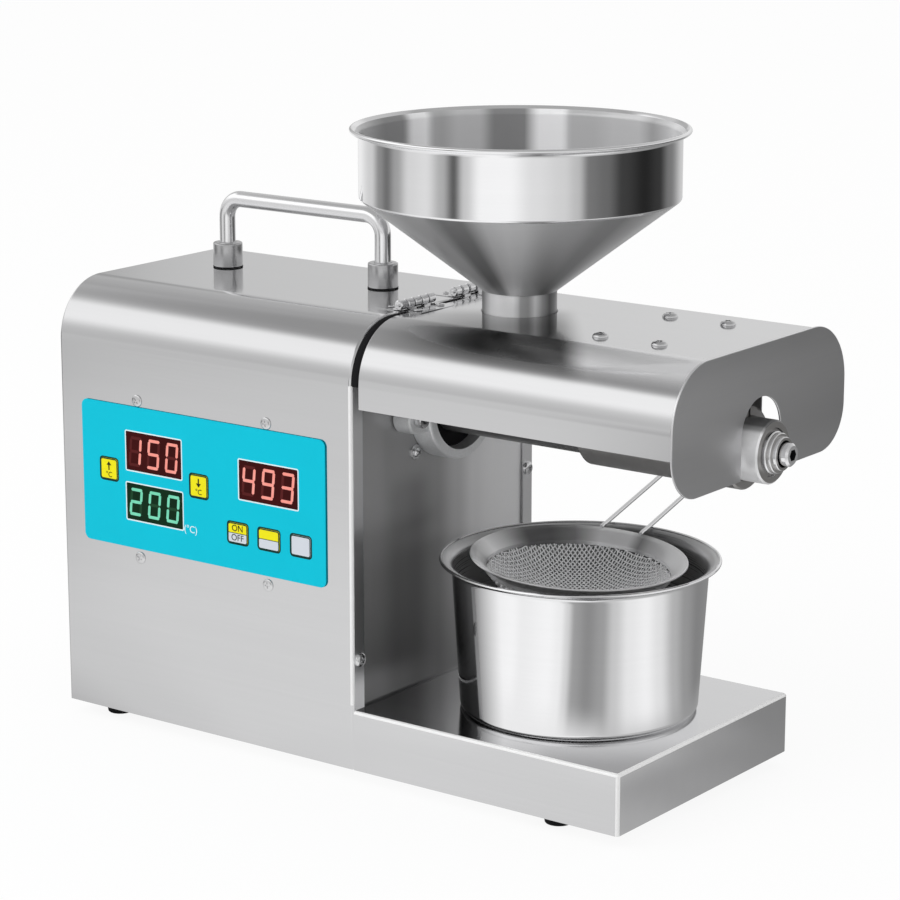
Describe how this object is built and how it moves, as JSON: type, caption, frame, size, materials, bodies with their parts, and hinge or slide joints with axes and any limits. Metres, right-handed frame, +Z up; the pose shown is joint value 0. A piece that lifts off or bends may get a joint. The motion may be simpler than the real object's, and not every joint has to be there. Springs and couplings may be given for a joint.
{
  "type": "screw oil press",
  "caption": "Countertop screw oil press in sheet steel with a hinged hood, a spun hopper, a heated barrel, a digit control panel and an oil pot with a wire strainer",
  "frame": {"origin": "middle of the whole press's outline seen from above, at the height that its feet stand on", "axes": "+X runs from the housing's closed end to the press head, +Y from the control panel to the back, +Z up"},
  "size_m": [0.4406, 0.27, 0.3585],
  "materials": {
    "brushed_sheet": "brushed satin steel sheet",
    "polished_steel": "polished stainless steel",
    "machined_steel": "turned steel, fine satin",
    "dark_sheet": "satin steel sheet with a dark reflection",
    "cast_metal": "machined casting",
    "dark_steel": "dark heat-stained steel",
    "rubber": "matt black rubber",
    "black_plastic": "matt black plastic",
    "motor_paint": "black paint",
    "panel_cyan": "satin printed sheet",
    "key_yellow": "satin key cap",
    "key_grey": "satin key cap",
    "window_red": "dark red window over lit digits",
    "window_green": "dark green window over lit digits",
    "board_green": "circuit board"
  },
  "bodies": {
    "housing": {"housing_shell": "brushed_sheet", "partition_wall": "brushed_sheet", "left_end_panel": "brushed_sheet", "base_platform": "brushed_sheet", "bottom_plate": "brushed_sheet", "motor_cradle": "brushed_sheet", "board_bracket": "brushed_sheet", "carry_handle": "polished_steel", "handle_ferrule_left": "polished_steel", "handle_ferrule_right": "polished_steel", "hinge_leaf_front": "polished_steel", "hinge_leaf_rear": "polished_steel", "press_barrel": "machined_steel", "shaft_bearing": "machined_steel", "hinge_pin_front": "machined_steel", "hinge_pin_rear": "machined_steel", "handle_bolt_left": "machined_steel", "handle_bolt_right": "machined_steel", "chamber_flange": "cast_metal", "bearing_block": "cast_metal", "gearbox_case": "cast_metal", "heater_band": "dark_steel", "clamp_screw": "dark_steel", "seam_gasket": "rubber", "foot_front_left": "rubber", "foot_front_right": "rubber", "foot_rear_left": "rubber", "foot_rear_right": "rubber", "fan_frame": "black_plastic", "power_inlet": "black_plastic", "switch_frame": "black_plastic", "motor_body": "motor_paint", "control_overlay": "panel_cyan", "display_current": "window_red", "display_countdown": "window_red", "display_setting": "window_green", "control_board": "board_green"},
    "spindle": {"press_screw": "polished_steel", "drive_coupling": "machined_steel", "output_shaft": "machined_steel"},
    "nozzle": {"cake_nozzle": "polished_steel"},
    "hood": {"hood_shell": "brushed_sheet", "hood_end_plate": "dark_sheet", "hopper_seat": "machined_steel", "heat_shield": "brushed_sheet", "hinge_leaf_hood_front": "polished_steel", "hinge_leaf_hood_rear": "polished_steel"},
    "hopper": {"hopper": "polished_steel"},
    "pot": {"oil_pot": "polished_steel"},
    "strainer": {"strainer_band": "polished_steel", "strainer_mesh": "machined_steel", "strainer_handle": "polished_steel"},
    "key_up": {"key_up": "key_yellow"},
    "key_down": {"key_down": "key_yellow"},
    "key_heat": {"key_heat": "key_yellow"},
    "key_press": {"key_press": "key_yellow"},
    "key_clear": {"key_clear": "key_grey"},
    "rocker": {"switch_rocker": "black_plastic"},
    "fan": {"fan_rotor": "black_plastic"}
  },
  "joints": [
    {"name": "spindle_turn", "type": "hinge", "parent": "housing", "child": "spindle", "pos_m": [0.08235, -0.0429, 0.202], "axis": [1, 0, 0], "continuous": true},
    {"name": "nozzle_turn", "type": "hinge", "parent": "housing", "child": "nozzle", "pos_m": [0.20435, -0.0429, 0.202], "axis": [1, 0, 0], "range_deg": [-180, 180]},
    {"name": "hood_tilt", "type": "hinge", "parent": "housing", "child": "hood", "pos_m": [-0.00615, -0.0429, 0.261], "axis": [0, -1, 0], "range_deg": [0, 16]},
    {"name": "hopper_lift", "type": "slide", "parent": "hood", "child": "hopper", "axis": [0, 0, 1], "range_m": [0, 0.08]},
    {"name": "pot_slide", "type": "slide", "parent": "housing", "child": "pot", "axis": [0, -1, 0], "range_m": [0, 0.19]},
    {"name": "strainer_lift", "type": "slide", "parent": "pot", "child": "strainer", "axis": [0, 0, 1], "range_m": [0, 0.028]},
    {"name": "key_up_press", "type": "slide", "parent": "housing", "child": "key_up", "axis": [0, 1, 0], "range_m": [0, 0.0005], "stiffness_N_per_m": 600, "springref_m": -0.001},
    {"name": "key_down_press", "type": "slide", "parent": "housing", "child": "key_down", "axis": [0, 1, 0], "range_m": [0, 0.0005], "stiffness_N_per_m": 600, "springref_m": -0.001},
    {"name": "key_heat_press", "type": "slide", "parent": "housing", "child": "key_heat", "axis": [0, 1, 0], "range_m": [0, 0.0005], "stiffness_N_per_m": 600, "springref_m": -0.001},
    {"name": "key_press_press", "type": "slide", "parent": "housing", "child": "key_press", "axis": [0, 1, 0], "range_m": [0, 0.0005], "stiffness_N_per_m": 600, "springref_m": -0.001},
    {"name": "key_clear_press", "type": "slide", "parent": "housing", "child": "key_clear", "axis": [0, 1, 0], "range_m": [0, 0.0005], "stiffness_N_per_m": 600, "springref_m": -0.001},
    {"name": "rocker_switch", "type": "hinge", "parent": "housing", "child": "rocker", "pos_m": [-0.21265, -0.0329, 0.053], "axis": [0, -1, 0], "range_deg": [0, 24]},
    {"name": "fan_turn", "type": "hinge", "parent": "housing", "child": "fan", "pos_m": [-0.20765, -0.0429, 0.194], "axis": [1, 0, 0], "continuous": true}
  ]
}
